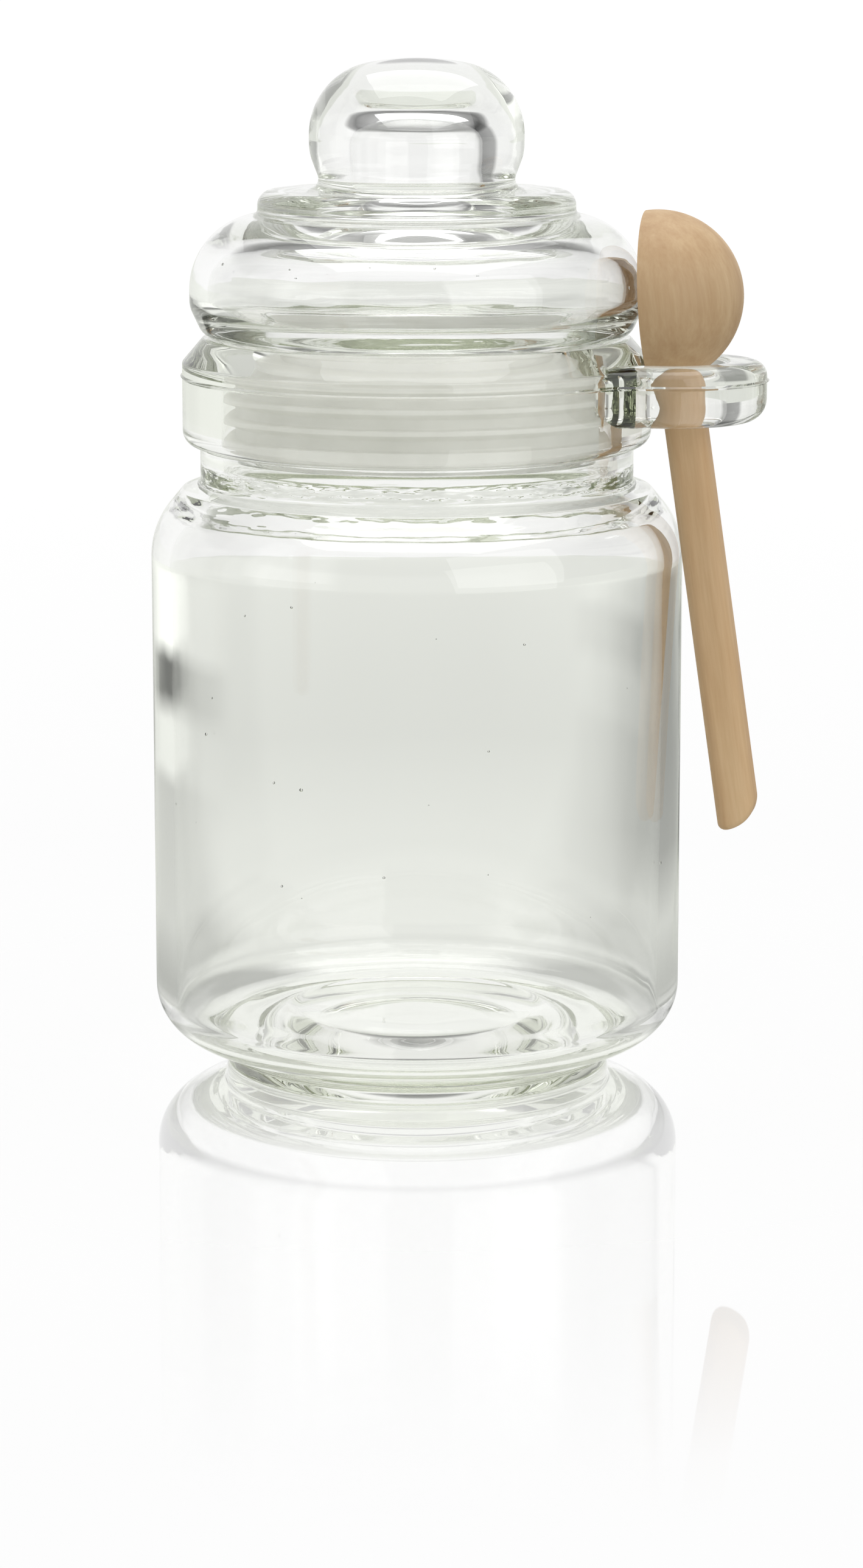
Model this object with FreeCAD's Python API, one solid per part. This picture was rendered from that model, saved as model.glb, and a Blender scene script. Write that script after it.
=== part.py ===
import FreeCAD, Part
import math
import os
from FreeCAD import Placement, Rotation, Vector

# Apothecary jar of pressed clear glass with a hollow glass lid, a ribbed seal on the lid's plug
# and a turned wooden spoon that hangs by its bowl in a loop moulded on the jar's collar.
# Millimetres. +Z is the jar's axis, upwards, +X points along the spoon loop, and the origin is
# the centre of the foot's bearing ring, on the surface that the jar stands on.

# ---- Jar ----------------------------------------------------------------------------------
BODY_RADIUS = 39.15            # outside of the straight body
BODY_WALL = 3.0
BODY_HEIGHT = 81.0             # height where the body's side and the shoulder's slope would meet
SHOULDER_ROUND = 12.0          # outside radius of the shoulder
SHOULDER_RISE = 5.6            # height of the shoulder's slope above that corner
SHOULDER_LEDGE = 2.7           # how far the slope ends outside the neck
SHOULDER_INSIDE = 1.0          # the hollow's corner lies this much lower
NECK_INSET = 7.35              # from the body's side in to the neck
NECK_ROOT = 0.9                # rise of the little step between slope and neck
NECK_HEIGHT = 5.5              # from that step up to the collar
NECK_WALL = 3.3                # from the neck's side in to the bore of the mouth
NECK_FILLET = 0.35             # where the neck runs into the collar
NECK_INSIDE_ROUND = 3.0        # where the bore opens into the body
COLLAR_PROUD = 2.55            # how far the collar stands out of the neck
COLLAR_HEIGHT = 12.1
LIP_RISE = 3.55                # crest of the lip above the collar's edge
LIP_INSET = 2.0                # crest of the lip outside the bore
LIP_BEVEL = 26.0               # degrees, the cone inside the lip that the lid rests on
LIP_ROUND = 0.2                # crest of the lip
EDGE_ROUND = 0.8               # fire-polished edges
SMALL_ROUND = 0.4              # and the small ones

# ---- Heel, foot and floor -------------------------------------------------------------------
HEEL_CORNER = 6.9              # height where the body's side and the sloping heel would meet
HEEL_ROUND = 8.4
FOOT_INSET = 10.45             # from the body's side in to the foot
FOOT_HEIGHT = 2.5
FOOT_RECESS = 1.4              # the underside stands this far up inside the bearing ring
BEARING_WIDTH = 4.2            # flat ring that the jar stands on
FLOOR_HEIGHT = 6.8             # top of the glass floor above the bearing ring
FLOOR_ROUND = 8.0
PUNT_INSET = 5.9               # from the bearing ring in to the raised middle of the floor
PUNT_RISE = 2.2
PUNT_HOLLOW = 3.4              # height of the hollow under it
PUNT_ROUND = 4.4               # edge of that hollow

# ---- Spoon loop, moulded on the collar --------------------------------------------------------
LOOP_RAISE = 4.1               # underside of the loop above the collar's
LOOP_HEIGHT = 8.8
LOOP_SLOT_HALF = 8.3           # half the slot's width, and the radius of its rounded end
LOOP_BAND = 5.8                # thickness of the loop round the slot
LOOP_FLARE = 9.5               # radius that runs the loop's sides out into the collar
LOOP_TOP_ROUND = 2.2           # edge round the outside, above
LOOP_BOTTOM_ROUND = 3.3        # and below
SLOT_ROUND = 1.0               # edges round the slot

# ---- Lid --------------------------------------------------------------------------------------
TIER_INSET = 1.15              # the wide rolled tier lies this far inside the collar's side
TIER_UNDERCUT = 1.8            # where its underside turns up, in from its side
TIER_UNDER_ROUND = 3.0
TIER_RAISE = 4.55              # height over the lip where the rolled side would start
TIER_SIDE_ROUND = 4.0
TIER_HEIGHT = 11.0             # height of the rolled side, corner to corner
TIER_TOP_ROUND = 11.0
TIER_SLOPE = 2.4               # rise from the side up to the crease
STEP_INSET = 10.0              # the small tier under the knob lies this far inside the wide one
STEP_HEIGHT = 3.3
STEP_ROUND = 2.2
STEP_CROWN = 0.3               # rise of its top to the knob
WAIST_INSET = 9.5              # from the small tier in to the knob's waist
WAIST_ROUND = 1.4
WAIST_HEIGHT = 5.1             # up to where the knob's underside turns in
KNOB_UNDER_ROUND = 7.7
KNOB_PROUD = 1.95              # how far the knob stands out of its waist
KNOB_LOWER = 2.6               # from there up to the knob's widest circle
KNOB_UPPER = 11.0              # from the widest circle up to the crown
KNOB_SIDE_ROUND = 10.5
PLUG_DEPTH = 17.25             # foot of the plug under the lip's crest
PLUG_WALL = 2.4
PLUG_BEAD = 1.1                # foot bead that keeps the seal on the plug
PLUG_BEAD_HEIGHT = 1.9
PLUG_ROUND = 0.5
TIER_WALL = 2.7                # glass round the wide tier's hollow, at its side
TIER_FLOOR_WALL = 3.5          # over the cone that rests on the lip
TIER_ROOF_WALL = 2.9           # under the rolled top, at the side's corner
CREASE_WALL = 2.5              # under the crease
BORE_ROUND = 1.2               # where the plug's bore opens into the wide tier
TIER_FLOOR_ROUND = 3.0
TIER_HOLLOW_ROUND = 7.5
STEP_WALL = 2.8                # at the small tier's side
STEP_ROOF_WALL = 2.9
STEP_HOLLOW_ROUND = 1.5
KNOB_WALL = 4.1                # at the knob's waist
KNOB_FOOT_ROUND = 1.2          # where the knob's hollow opens into the small tier
KNOB_HOLLOW_RISE = 3.1         # top of that hollow over the knob's widest circle
KNOB_HOLLOW_ROUND = 4.0

# ---- Seal -------------------------------------------------------------------------------------
SEAL_SLEEVE = 1.5              # wall of the sleeve
SEAL_FIN_REACH = 1.7           # how far the fins stand out of the sleeve
SEAL_FINS = 4
SEAL_FIN_PITCH = 3.0
SEAL_FIN_ROOT = 1.5
SEAL_FIN_TIP = 0.7
SEAL_CROWN = 1.1               # thickness of the top flange at its edge

# ---- Spoon ------------------------------------------------------------------------------------
BALL_RADIUS = 12.5             # outside of the bowl
BOWL_DEEPER = 1.1              # the rim lies this far past the ball's middle
BOWL_WALL = 2.3
RIM_TILT = 3.3                 # degrees, the rim leans over the jar
HANDLE_THICK = 6.1             # in the direction away from the jar
HANDLE_WIDE = 7.2
HANDLE_CORNER = 2.6
HANDLE_OFFSET = 1.7            # handle's middle outside the bowl's middle
HANDLE_LENGTH = 78.6           # from the middle of the bowl to the end
HANDLE_END_INNER = 1.4         # radius of the end on the side of the jar
HANDLE_END_OUTER = 4.4         # radius of the end on the far side
ROOT_RADIUS = 5.2              # the handle swells into the bowl
ROOT_BELOW = 2.6               # it starts this far below the bowl
ROOT_LENGTH = 5.2

# ---- Clearances -------------------------------------------------------------------------------
SEAT_GAP = 0.25                # lid on lip, seal on bead, bowl on loop
SEAL_FIT = 0.1                 # radial, seal on plug
SEAL_CLEARANCE = 0.2           # radial, fins in the mouth
LID_TO_SPOON = 0.4             # between the tier's side and the bowl's rim
HANDLE_TO_BODY = 0.35
HANDLE_TO_SLOT = 2.8
NEARLY = 1e-3                  # lengths closer than this count as the same

# ---- Sizes that follow ------------------------------------------------------------------------
inner_radius = BODY_RADIUS - BODY_WALL
neck_radius = BODY_RADIUS - NECK_INSET
mouth_radius = neck_radius - NECK_WALL
collar_radius = neck_radius + COLLAR_PROUD
lip_radius = mouth_radius + LIP_INSET
foot_radius = BODY_RADIUS - FOOT_INSET
foot_inner = foot_radius - BEARING_WIDTH
punt_radius = foot_inner - PUNT_INSET
neck_start = BODY_HEIGHT + SHOULDER_RISE
collar_bottom = neck_start + NECK_ROOT + NECK_HEIGHT
collar_top = collar_bottom + COLLAR_HEIGHT
lip_height = collar_top + LIP_RISE
bevel_slope = math.tan(math.radians(LIP_BEVEL))
loop_bottom = collar_bottom + LOOP_RAISE
loop_top = loop_bottom + LOOP_HEIGHT

tier_radius = collar_radius - TIER_INSET
tier_side = lip_height + TIER_RAISE
tier_top = tier_side + TIER_HEIGHT
crease_height = tier_top + TIER_SLOPE
step_radius = tier_radius - STEP_INSET
step_top = crease_height + STEP_HEIGHT
waist_radius = step_radius - WAIST_INSET
knob_foot = step_top + STEP_CROWN
knob_under = knob_foot + WAIST_HEIGHT
knob_radius = waist_radius + KNOB_PROUD
knob_middle = knob_under + KNOB_LOWER
knob_top = knob_middle + KNOB_UPPER
tier_hollow_radius = tier_radius - TIER_WALL
step_hollow_radius = step_radius - STEP_WALL
step_ceiling = step_top - STEP_ROOF_WALL
knob_hollow_radius = waist_radius - KNOB_WALL
knob_hollow_top = knob_middle + KNOB_HOLLOW_RISE

plug_bottom = lip_height - PLUG_DEPTH
plug_radius = mouth_radius - SEAL_CLEARANCE - SEAL_FIN_REACH - SEAL_SLEEVE - SEAL_FIT
plug_hollow_radius = plug_radius - PLUG_WALL
seal_bore = plug_radius + SEAL_FIT
seal_sleeve_radius = seal_bore + SEAL_SLEEVE
seal_fin_radius = seal_sleeve_radius + SEAL_FIN_REACH
seal_bottom = plug_bottom + PLUG_BEAD_HEIGHT + SEAT_GAP


def lid_underside(radius):
    """Height of the cone under the lid's tier, which stands SEAT_GAP off the lip's bevel."""
    return lip_height + SEAT_GAP / math.cos(math.radians(LIP_BEVEL)) + (radius - lip_radius) * bevel_slope


def tier_floor(radius):
    """Height of the floor of the wide tier's hollow, over that cone."""
    return lid_underside(radius) + TIER_FLOOR_WALL / math.cos(math.radians(LIP_BEVEL))


def rounded_edges(corners):
    """Edges through (r, z) or (r, z, radius) corners in the XZ plane, with arcs at the radii."""
    points = [Vector(corner[0], 0, corner[1]) for corner in corners]
    radii = [corner[2] if len(corner) > 2 else 0 for corner in corners]
    edges = []
    start = points[0]
    for before, corner, after, radius in zip(points, points[1:], points[2:], radii[1:]):
        if radius == 0:
            edges.append(Part.makeLine(start, corner))
            start = corner
            continue
        inward = (before - corner).normalize()
        outward = (after - corner).normalize()
        half_angle = inward.getAngle(outward) / 2
        leave = corner + inward * (radius / math.tan(half_angle))
        join = corner + outward * (radius / math.tan(half_angle))
        middle = (inward + outward).normalize()
        nearest = corner + middle * (radius / math.sin(half_angle) - radius)
        if (leave - start).Length > NEARLY:
            edges.append(Part.makeLine(start, leave))
        edges.append(Part.Arc(leave, nearest, join).toShape())
        start = join
    edges.append(Part.makeLine(start, points[-1]))
    return edges


def turned(edges):
    """Solid of revolution about Z of the closed outline that the edges and the axis make."""
    wire = Part.Wire(Part.__sortEdges__(edges))
    if not wire.isClosed():
        ends = [vertex.Point for vertex in wire.OrderedVertexes]
        wire = Part.Wire(Part.__sortEdges__(edges + [Part.makeLine(ends[-1], ends[0])]))
    solid = Part.Face(wire).revolve(Vector(0, 0, 0), Vector(0, 0, 1), 360)
    return Part.makeSolid(solid) if solid.ShapeType != "Solid" else solid


def jar_glass():
    """Body, shoulder, neck, collar, lip and foot, as one turned wall of glass."""
    slope_end = neck_radius + SHOULDER_LEDGE
    outside = [
        (0, PUNT_HOLLOW),
        (punt_radius - PUNT_RISE, PUNT_HOLLOW, PUNT_ROUND),
        (foot_inner - EDGE_ROUND, FOOT_RECESS, EDGE_ROUND),
        (foot_inner, 0, SMALL_ROUND),
        (foot_radius, 0, EDGE_ROUND),
        (foot_radius, FOOT_HEIGHT, EDGE_ROUND),
        (BODY_RADIUS, HEEL_CORNER, HEEL_ROUND),
        (BODY_RADIUS, BODY_HEIGHT, SHOULDER_ROUND),
        (slope_end, neck_start, EDGE_ROUND),
        (neck_radius, neck_start + NECK_ROOT, EDGE_ROUND),
        (neck_radius, collar_bottom, NECK_FILLET),
        (collar_radius, collar_bottom, collar_radius - neck_radius - NECK_FILLET),
        (collar_radius, collar_top, EDGE_ROUND),
        (lip_radius + EDGE_ROUND, lip_height, SMALL_ROUND),
        (lip_radius, lip_height, LIP_ROUND),
        (mouth_radius, lip_height - (lip_radius - mouth_radius) * bevel_slope, SMALL_ROUND),
    ]
    inside = [
        (mouth_radius, neck_start, NECK_INSIDE_ROUND),
        (inner_radius, BODY_HEIGHT - SHOULDER_INSIDE, SHOULDER_ROUND - BODY_WALL),
        (inner_radius, FLOOR_HEIGHT, FLOOR_ROUND),
        (punt_radius + PUNT_RISE, FLOOR_HEIGHT, PUNT_RISE),
        (punt_radius, FLOOR_HEIGHT + PUNT_RISE, PUNT_RISE),
        (0, FLOOR_HEIGHT + PUNT_RISE),
    ]
    return turned(rounded_edges(outside + inside))


def spoon_geometry():
    """Where the spoon hangs: the middle of its bowl and the tilt of its handle, in degrees."""
    rim = math.radians(RIM_TILT)
    rim_radius = math.sqrt(BALL_RADIUS ** 2 - BOWL_DEEPER ** 2)
    ball_x = tier_radius + LID_TO_SPOON + BOWL_DEEPER * math.cos(rim) + rim_radius * math.sin(rim)
    # The bowl lies on the rounded edges at both sides of the slot.
    reach = BALL_RADIUS + SLOT_ROUND + SEAT_GAP
    ball_z = loop_top - SLOT_ROUND + math.sqrt(reach ** 2 - (LOOP_SLOT_HALF + SLOT_ROUND) ** 2)
    # The handle leans out until it just clears the round of the shoulder.
    turn = math.atan2(BODY_RADIUS - neck_radius - SHOULDER_LEDGE, SHOULDER_RISE)
    round_start = BODY_HEIGHT - SHOULDER_ROUND * math.tan(turn / 2)
    across = BODY_RADIUS - SHOULDER_ROUND - ball_x
    down = round_start - ball_z
    wanted = HANDLE_OFFSET - HANDLE_THICK / 2 - HANDLE_TO_BODY - SHOULDER_ROUND
    tilt = math.atan2(down, across) + math.acos(wanted / math.hypot(across, down))
    return ball_x, ball_z, math.degrees(tilt)


def slot_centre():
    """Middle of the slot's rounded end: it leaves room for the bowl and for the handle."""
    ball_x, ball_z, tilt = spoon_geometry()
    lean = math.radians(tilt)
    outer_face = HANDLE_OFFSET + HANDLE_THICK / 2 + (ball_z - loop_bottom) * math.sin(lean)
    handle_x = ball_x + outer_face / math.cos(lean)
    return max(ball_x, handle_x + HANDLE_TO_SLOT - LOOP_SLOT_HALF)


def on_level(edge, height):
    """Does the edge lie flat at this height?"""
    points = [vertex.Point for vertex in edge.Vertexes] + [edge.CenterOfMass]
    return all(abs(point.z - height) < NEARLY for point in points)


def along_slot(edge):
    """Does the edge start and end on the slot's straight sides?"""
    return all(abs(abs(vertex.Y) - LOOP_SLOT_HALF) < NEARLY for vertex in edge.Vertexes)


def mirrored(point):
    return Vector(point.x, -point.y, point.z)


def spoon_loop():
    """The loop: a flat U whose sides flare out into the collar, with the slot cut through it."""
    centre = slot_centre()
    end_radius = LOOP_SLOT_HALF + LOOP_BAND
    # Each flare touches the collar's circle and the circle of the loop's end.
    from_axis = collar_radius + LOOP_FLARE
    from_end = end_radius + LOOP_FLARE
    flare_x = (from_axis ** 2 - from_end ** 2 + centre ** 2) / (2 * centre)
    flare_centre = Vector(flare_x, math.sqrt(from_axis ** 2 - flare_x ** 2), 0)
    on_collar = flare_centre * (collar_radius / from_axis)
    in_bore = flare_centre * ((collar_radius - 2 * LOOP_BOTTOM_ROUND) / from_axis)
    to_end = Vector(centre, 0, 0) - flare_centre
    on_end = flare_centre + to_end * (LOOP_FLARE / from_end)
    flare_way = (on_collar + on_end - flare_centre * 2).normalize()
    flare_middle = flare_centre + flare_way * LOOP_FLARE
    outline = [
        Part.makeLine(in_bore, on_collar),
        Part.Arc(on_collar, flare_middle, on_end).toShape(),
        Part.Arc(on_end, Vector(centre + end_radius, 0, 0), mirrored(on_end)).toShape(),
        Part.Arc(mirrored(on_end), mirrored(flare_middle), mirrored(on_collar)).toShape(),
        Part.makeLine(mirrored(on_collar), mirrored(in_bore)),
        Part.makeLine(mirrored(in_bore), in_bore),
    ]
    slot_start = Vector(0, LOOP_SLOT_HALF, 0)
    slot_end = Vector(centre, LOOP_SLOT_HALF, 0)
    slot = [
        Part.makeLine(slot_start, slot_end),
        Part.Arc(slot_end, Vector(centre + LOOP_SLOT_HALF, 0, 0), mirrored(slot_end)).toShape(),
        Part.makeLine(mirrored(slot_end), mirrored(slot_start)),
        Part.makeLine(mirrored(slot_start), slot_start),
    ]
    flat = Part.Face(Part.Wire(outline)).cut(Part.Face(Part.Wire(slot)))
    block = flat.Faces[0].extrude(Vector(0, 0, LOOP_HEIGHT))
    for level, outer_round in ((0, LOOP_BOTTOM_ROUND), (LOOP_HEIGHT, LOOP_TOP_ROUND)):
        rim = [edge for edge in block.Edges if on_level(edge, level) and edge.BoundBox.XMax > collar_radius]
        block = block.makeFillet(outer_round, [edge for edge in rim if not along_slot(edge)])
        rim = [edge for edge in block.Edges if on_level(edge, level) and along_slot(edge)]
        block = block.makeFillet(SLOT_ROUND, rim)
    block.translate(Vector(0, 0, loop_bottom))
    return block


def jar():
    glass = jar_glass()
    bore = Part.makeCylinder(mouth_radius + SEAL_CLEARANCE, loop_top, Vector(0, 0, 0))
    loop = spoon_loop().cut(bore)
    return glass.fuse(loop).removeSplitter().Solids[0]


def knob_dome():
    """Two arcs from the knob's widest circle up to its crown on the axis."""
    rise = knob_top - knob_middle
    side_x = knob_radius - KNOB_SIDE_ROUND
    crown = (side_x ** 2 + rise ** 2 - KNOB_SIDE_ROUND ** 2) / (2 * (rise - KNOB_SIDE_ROUND))
    crown_centre = Vector(0, 0, knob_top - crown)
    side_centre = Vector(side_x, 0, knob_middle)
    meet_way = (side_centre - crown_centre).normalize()
    meet = crown_centre + meet_way * crown
    widest = Vector(knob_radius, 0, knob_middle)
    half_way = (meet_way + Vector(0, 0, 1)).normalize()
    side_way = (meet_way + Vector(1, 0, 0)).normalize()
    return [
        Part.Arc(Vector(0, 0, knob_top), crown_centre + half_way * crown, meet).toShape(),
        Part.Arc(meet, side_centre + side_way * KNOB_SIDE_ROUND, widest).toShape(),
    ]


def lid():
    """Knob, small tier, rolled tier and plug, blown hollow: the inside follows the outside."""
    tier_under = tier_radius - TIER_UNDERCUT
    bead_top = plug_bottom + PLUG_BEAD_HEIGHT
    bead_radius = plug_radius + PLUG_BEAD
    outline = [
        (knob_radius, knob_middle),
        (knob_radius, knob_under, KNOB_UNDER_ROUND),
        (waist_radius, knob_foot, WAIST_ROUND),
        (step_radius, step_top, STEP_ROUND),
        (step_radius, crease_height, EDGE_ROUND),
        (tier_radius, tier_top, TIER_TOP_ROUND),
        (tier_radius, tier_side, TIER_SIDE_ROUND),
        (tier_under, lid_underside(tier_under), TIER_UNDER_ROUND),
        (plug_radius, lid_underside(plug_radius)),
        (plug_radius, bead_top),
        (bead_radius, bead_top, PLUG_ROUND),
        (bead_radius, plug_bottom, PLUG_ROUND),
        (plug_hollow_radius, plug_bottom, PLUG_ROUND),
        (plug_hollow_radius, tier_floor(plug_hollow_radius), BORE_ROUND),
        (tier_hollow_radius, tier_floor(tier_hollow_radius), TIER_FLOOR_ROUND),
        (tier_hollow_radius, tier_top - TIER_ROOF_WALL, TIER_HOLLOW_ROUND),
        (step_hollow_radius, crease_height - CREASE_WALL, EDGE_ROUND),
        (step_hollow_radius, step_ceiling, STEP_HOLLOW_ROUND),
        (knob_hollow_radius, step_ceiling + STEP_CROWN, KNOB_FOOT_ROUND),
        (knob_hollow_radius, knob_hollow_top, KNOB_HOLLOW_ROUND),
        (0, knob_hollow_top),
    ]
    return turned(knob_dome() + rounded_edges(outline))


def lid_seal():
    """Sleeve with a top flange and fins, which lies round the plug between tier and bead."""
    crown_edge = lid_underside(seal_fin_radius) - SEAT_GAP
    outline = [
        (seal_bore, seal_bottom),
        (seal_bore, lid_underside(seal_bore) - SEAT_GAP),
        (seal_fin_radius, crown_edge),
        (seal_fin_radius, crown_edge - SEAL_CROWN),
        (seal_sleeve_radius, crown_edge - SEAL_CROWN - SEAL_FIN_TIP),
    ]
    first = seal_bottom + SEAL_FIN_PITCH * (SEAL_FINS - 1)
    for number in range(SEAL_FINS):
        foot = first - number * SEAL_FIN_PITCH
        outline += [
            (seal_sleeve_radius, foot + SEAL_FIN_ROOT),
            (seal_fin_radius, foot + SEAL_FIN_ROOT),
            (seal_fin_radius, foot + SEAL_FIN_ROOT - SEAL_FIN_TIP),
            (seal_sleeve_radius, foot),
        ]
    outline.append((seal_bore, seal_bottom))
    return turned(rounded_edges(outline))


def handle():
    """Straight handle down from the origin, with rounded corners and a rounded end."""
    half = HANDLE_WIDE / 2
    near = HANDLE_OFFSET - HANDLE_THICK / 2
    far = HANDLE_OFFSET + HANDLE_THICK / 2
    middle_of_end = half - HANDLE_LENGTH
    bar = Part.makeBox(HANDLE_THICK, HANDLE_WIDE, HANDLE_LENGTH, Vector(near, -half, -HANDLE_LENGTH))
    bar = bar.makeFillet(HANDLE_CORNER, [edge for edge in bar.Edges if edge.Length > HANDLE_LENGTH - NEARLY])
    side_view = rounded_edges([
        (HANDLE_OFFSET, 0),
        (near, 0),
        (near, -HANDLE_LENGTH, HANDLE_END_INNER),
        (far, -HANDLE_LENGTH, HANDLE_END_OUTER),
        (far, 0),
        (HANDLE_OFFSET, 0),
    ])
    side_cut = Part.Face(Part.Wire(Part.__sortEdges__(side_view))).extrude(Vector(0, HANDLE_WIDE, 0))
    side_cut.translate(Vector(0, -half, 0))
    round_end = Part.makeCylinder(half, HANDLE_THICK, Vector(near, 0, middle_of_end), Vector(1, 0, 0))
    shank = Part.makeBox(HANDLE_THICK, HANDLE_WIDE, -middle_of_end, Vector(near, -half, middle_of_end))
    return bar.common(side_cut).common(round_end.fuse(shank))


def spoon():
    """Bowl and handle in one piece of wood, hung in the loop."""
    ball_x, ball_z, tilt = spoon_geometry()
    root_foot = Vector(HANDLE_OFFSET, 0, -BALL_RADIUS - ROOT_BELOW)
    root = Part.makeCone(HANDLE_THICK / 2, ROOT_RADIUS, ROOT_LENGTH, root_foot)
    wood = Part.makeSphere(BALL_RADIUS).fuse([root, handle()])
    wide = 2 * BALL_RADIUS
    beyond_rim = Part.makeBox(wide, 2 * wide, 2 * wide, Vector(-BOWL_DEEPER - wide, -wide, -BALL_RADIUS))
    rim_turn = Rotation(Vector(0, 1, 0), tilt - RIM_TILT)
    beyond_rim.Placement = Placement(Vector(0, 0, 0), rim_turn)
    rim_middle = rim_turn.multVec(Vector(-BOWL_DEEPER, 0, 0))
    hollow = Part.makeSphere(BALL_RADIUS - BOWL_WALL, rim_middle)
    wood = wood.cut(beyond_rim).cut(hollow).removeSplitter().Solids[0]
    wood.Placement = Placement(Vector(ball_x, 0, ball_z), Rotation(Vector(0, 1, 0), -tilt))
    return wood


os.makedirs("parts", exist_ok=True)
PIECES = {"jar_body": jar(), "lid": lid(), "lid_seal": lid_seal(), "spoon": spoon()}
for name, shape in PIECES.items():
    shape.exportStep(f"parts/{name}.step")
    print(name, len(shape.Solids), shape.isValid(), round(shape.Volume), shape.BoundBox)
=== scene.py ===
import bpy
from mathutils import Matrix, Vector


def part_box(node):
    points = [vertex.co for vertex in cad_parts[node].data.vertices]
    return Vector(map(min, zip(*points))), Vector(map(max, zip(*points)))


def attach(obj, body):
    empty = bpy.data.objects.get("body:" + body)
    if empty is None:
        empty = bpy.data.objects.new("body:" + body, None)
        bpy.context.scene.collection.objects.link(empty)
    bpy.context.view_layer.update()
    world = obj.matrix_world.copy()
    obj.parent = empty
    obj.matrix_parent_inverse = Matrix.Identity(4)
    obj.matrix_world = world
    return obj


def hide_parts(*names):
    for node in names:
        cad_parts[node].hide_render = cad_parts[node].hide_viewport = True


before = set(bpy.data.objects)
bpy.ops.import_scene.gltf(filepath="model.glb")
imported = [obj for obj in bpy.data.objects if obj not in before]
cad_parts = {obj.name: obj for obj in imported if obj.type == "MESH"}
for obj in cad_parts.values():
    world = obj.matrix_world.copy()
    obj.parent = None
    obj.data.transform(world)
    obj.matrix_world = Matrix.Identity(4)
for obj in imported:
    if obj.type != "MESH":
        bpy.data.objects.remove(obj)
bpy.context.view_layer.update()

import math

import bmesh
import bpy
from mathutils import Matrix, Vector

# Apothecary jar of pressed clear glass with a glass lid, a ribbed milky seal and a wooden spoon.
# Metres, with the sizes below in millimetres. +Z is the jar's axis and +X points along the loop.
# The outer sizes come from the solids' boxes, and the sizes below are details inside them.

MM = 0.001


def box_mm(node):
    low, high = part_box(node)
    return Vector(low) / MM, Vector(high) / MM


jar_high = box_mm("jar_body")[1]
lid_low, lid_high = box_mm("lid")
seal_low, seal_high = box_mm("lid_seal")
spoon_high = box_mm("spoon")[1]

# ---- Jar, mm ------------------------------------------------------------------------------------
BODY_RADIUS = jar_high.y
LIP_HEIGHT = jar_high.z
LOOP_REACH = jar_high.x
BODY_WALL = 3.0
SHOULDER_CORNER = 81.0
SHOULDER_ROUND = 12.0
SHOULDER_RISE = 5.6
SHOULDER_LEDGE = 2.7
SHOULDER_INSIDE = 80.0
NECK_RADIUS = 31.8
NECK_ROOT = 0.9
NECK_FILLET = 0.35
NECK_INSIDE_ROUND = 3.0
MOUTH_RADIUS = 28.5
COLLAR_RADIUS = 34.35
COLLAR_BOTTOM = 93.0
COLLAR_TOP = 105.1
SEAM_HEIGHT = 103.1            # mould seam round collar and loop
SEAM_PROUD = 0.3
SEAM_HALF = 0.3
SEAM_FLAT = 0.04               # half the flat on the seam's crest
SEAM_ROUND = 0.1
LIP_RADIUS = 30.5
LIP_SLOPE = math.tan(math.radians(26.0))
LIP_ROUND = 0.2
EDGE_ROUND = 0.8               # fire-polished edges
SMALL_ROUND = 0.4              # and the small ones
ROUNDS_APART = 0.02            # left between two rounds of one edge
HEEL_CORNER = 6.9
HEEL_ROUND = 8.4
FOOT_RADIUS = 28.7
FOOT_HEIGHT = 2.5
FOOT_RECESS = 1.2              # the underside at the bearing ring, rising to the hollow
RECESS_INSET = 2.5
RECESS_ROUND = 5.0
BEARING_WIDTH = 4.2
BEARING_ROUND = 1.0
FLOOR_HEIGHT = 6.8
FLOOR_ROUND = 3.6
PUNT_RADIUS = 18.6
PUNT_TOP = 1.4                 # over the floor
PUNT_HOLLOW = 3.4
PUNT_HOLLOW_ROUND = 40.0
FLOOR_RINGS = (                # soft rings of the floor, (radius, height over the floor, round)
    (30.5, -0.3, 14.0),
    (26.2, 0.5, 6.0),
    (22.6, 0.1, 6.0),
    (PUNT_RADIUS, 1.8, 5.0),
    (12.0, PUNT_TOP, 12.0),
)

# ---- Loop, mm -----------------------------------------------------------------------------------
LOOP_BOTTOM = 97.1
LOOP_TOP = 105.9
SLOT_HALF = 8.3
LOOP_BAND = 5.8
LOOP_FLARE = 9.5
LOOP_TOP_ROUND = 2.2
LOOP_BOTTOM_ROUND = 3.3
SLOT_ROUND = 1.0
LOOP_IN_WALL = 30.2            # the loop's mesh starts at this radius, inside the collar's glass
JOIN_REACH = 0.004             # corners closer than this merge where loop and jar are joined

# ---- Lid, mm ------------------------------------------------------------------------------------
TIER_RADIUS = lid_high.y
LID_TOP = lid_high.z
PLUG_BOTTOM = lid_low.z
TIER_LOW = 113.2               # where the rolled side starts
TIER_HIGH = 124.2              # and where it ends
TIER_SIDE_ROUND = 4.0
TIER_TOP_ROUND = 11.0
TIER_UNDER = 31.4              # radius where its underside turns up
TIER_UNDER_ROUND = 3.0
CREASE_HEIGHT = 126.6
STEP_RADIUS = 23.2
STEP_HEIGHT = 129.9
STEP_ROUND = 2.2
WAIST_RADIUS = 13.7
WAIST_HEIGHT = 130.2
WAIST_ROUND = 1.4
KNOB_RADIUS = 15.65
KNOB_UNDER = 135.3
KNOB_UNDER_ROUND = 7.7
KNOB_MIDDLE = 137.9            # height of its widest circle
KNOB_SIDE_ROUND = 10.5
PLUG_RADIUS = 25.0
PLUG_WALL = 2.4
PLUG_BEAD = 1.1
PLUG_BEAD_HEIGHT = 1.9
PLUG_ROUND = 0.5
SEAT_GAP = 0.25

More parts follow.
